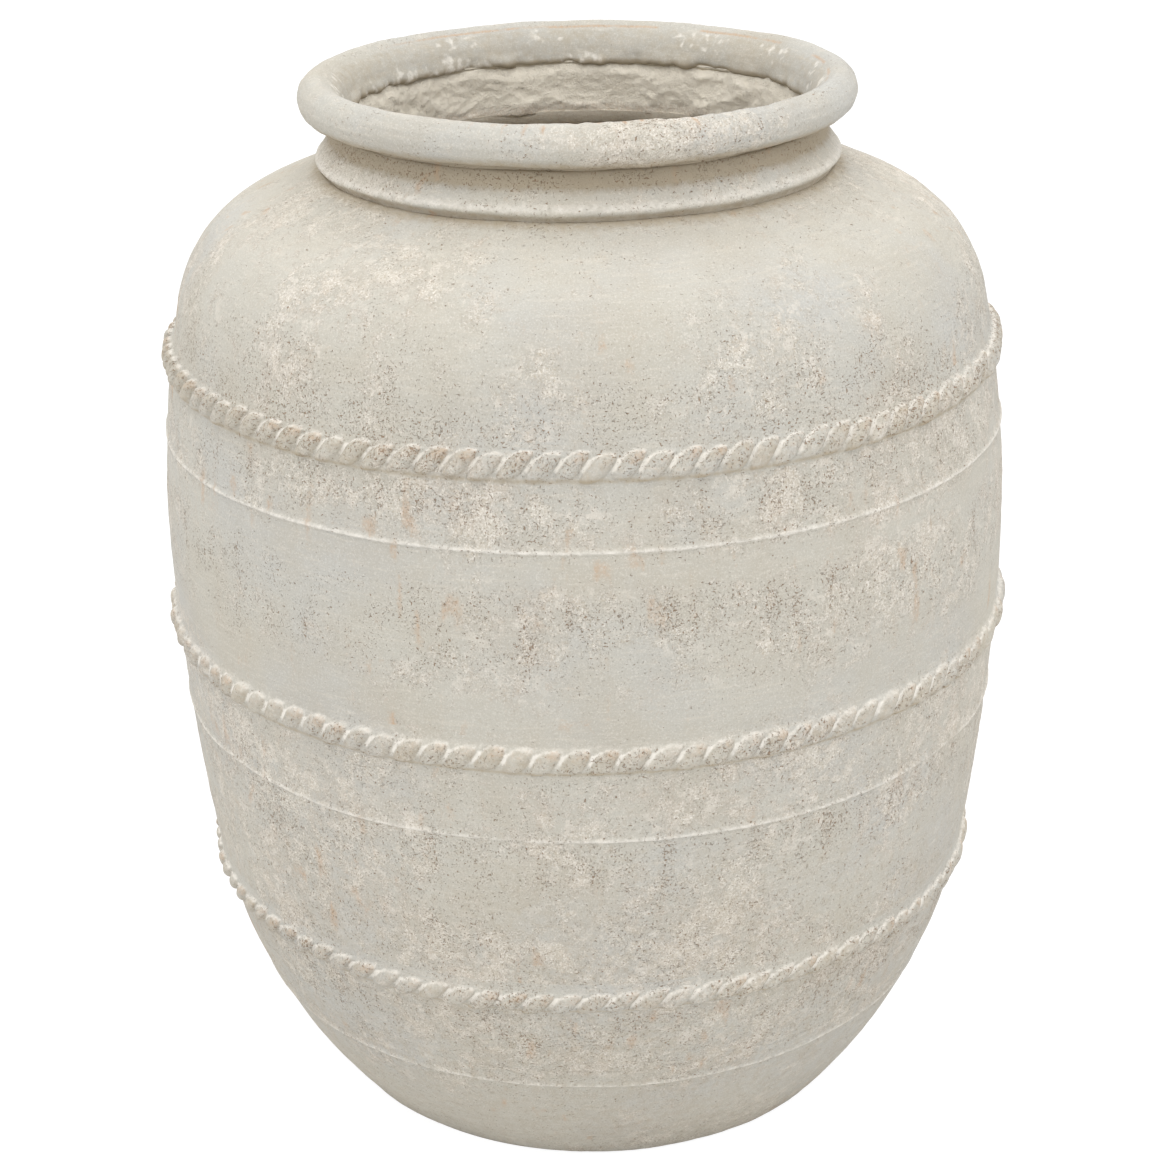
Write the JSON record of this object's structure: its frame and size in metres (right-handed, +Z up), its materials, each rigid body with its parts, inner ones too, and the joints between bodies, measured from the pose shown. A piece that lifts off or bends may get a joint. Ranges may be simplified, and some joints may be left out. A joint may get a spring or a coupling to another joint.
{
  "type": "pithos storage jar",
  "caption": "Large hand-built clay storage jar with a rolled rim, flared neck collar and applied twisted-rope bands.",
  "frame": {"origin": "centre of the flat base, on the ground", "axes": "+Z up along the axis of the jar, towards the mouth"},
  "size_m": [0.6394, 0.6394, 0.7875],
  "materials": {
    "limewashed_clay": "weathered lime wash over fired clay, matt, pitted",
    "bare_clay": "unwashed fired clay, smeared by hand, matt"
  },
  "bodies": {
    "root": {"base_disc": "limewashed_clay", "foot_course": "limewashed_clay", "lower_belly_course": "limewashed_clay", "upper_belly_course": "limewashed_clay", "shoulder_course": "limewashed_clay", "neck_wall": "limewashed_clay", "collar_band": "limewashed_clay", "rim_roll": "limewashed_clay", "lower_rope": "limewashed_clay", "middle_rope": "limewashed_clay", "upper_rope": "limewashed_clay", "neck_lute": "bare_clay", "base_coil": "bare_clay", "lower_seam_lute": "bare_clay", "middle_seam_lute": "bare_clay", "upper_seam_lute": "bare_clay"}
  },
  "joints": []
}
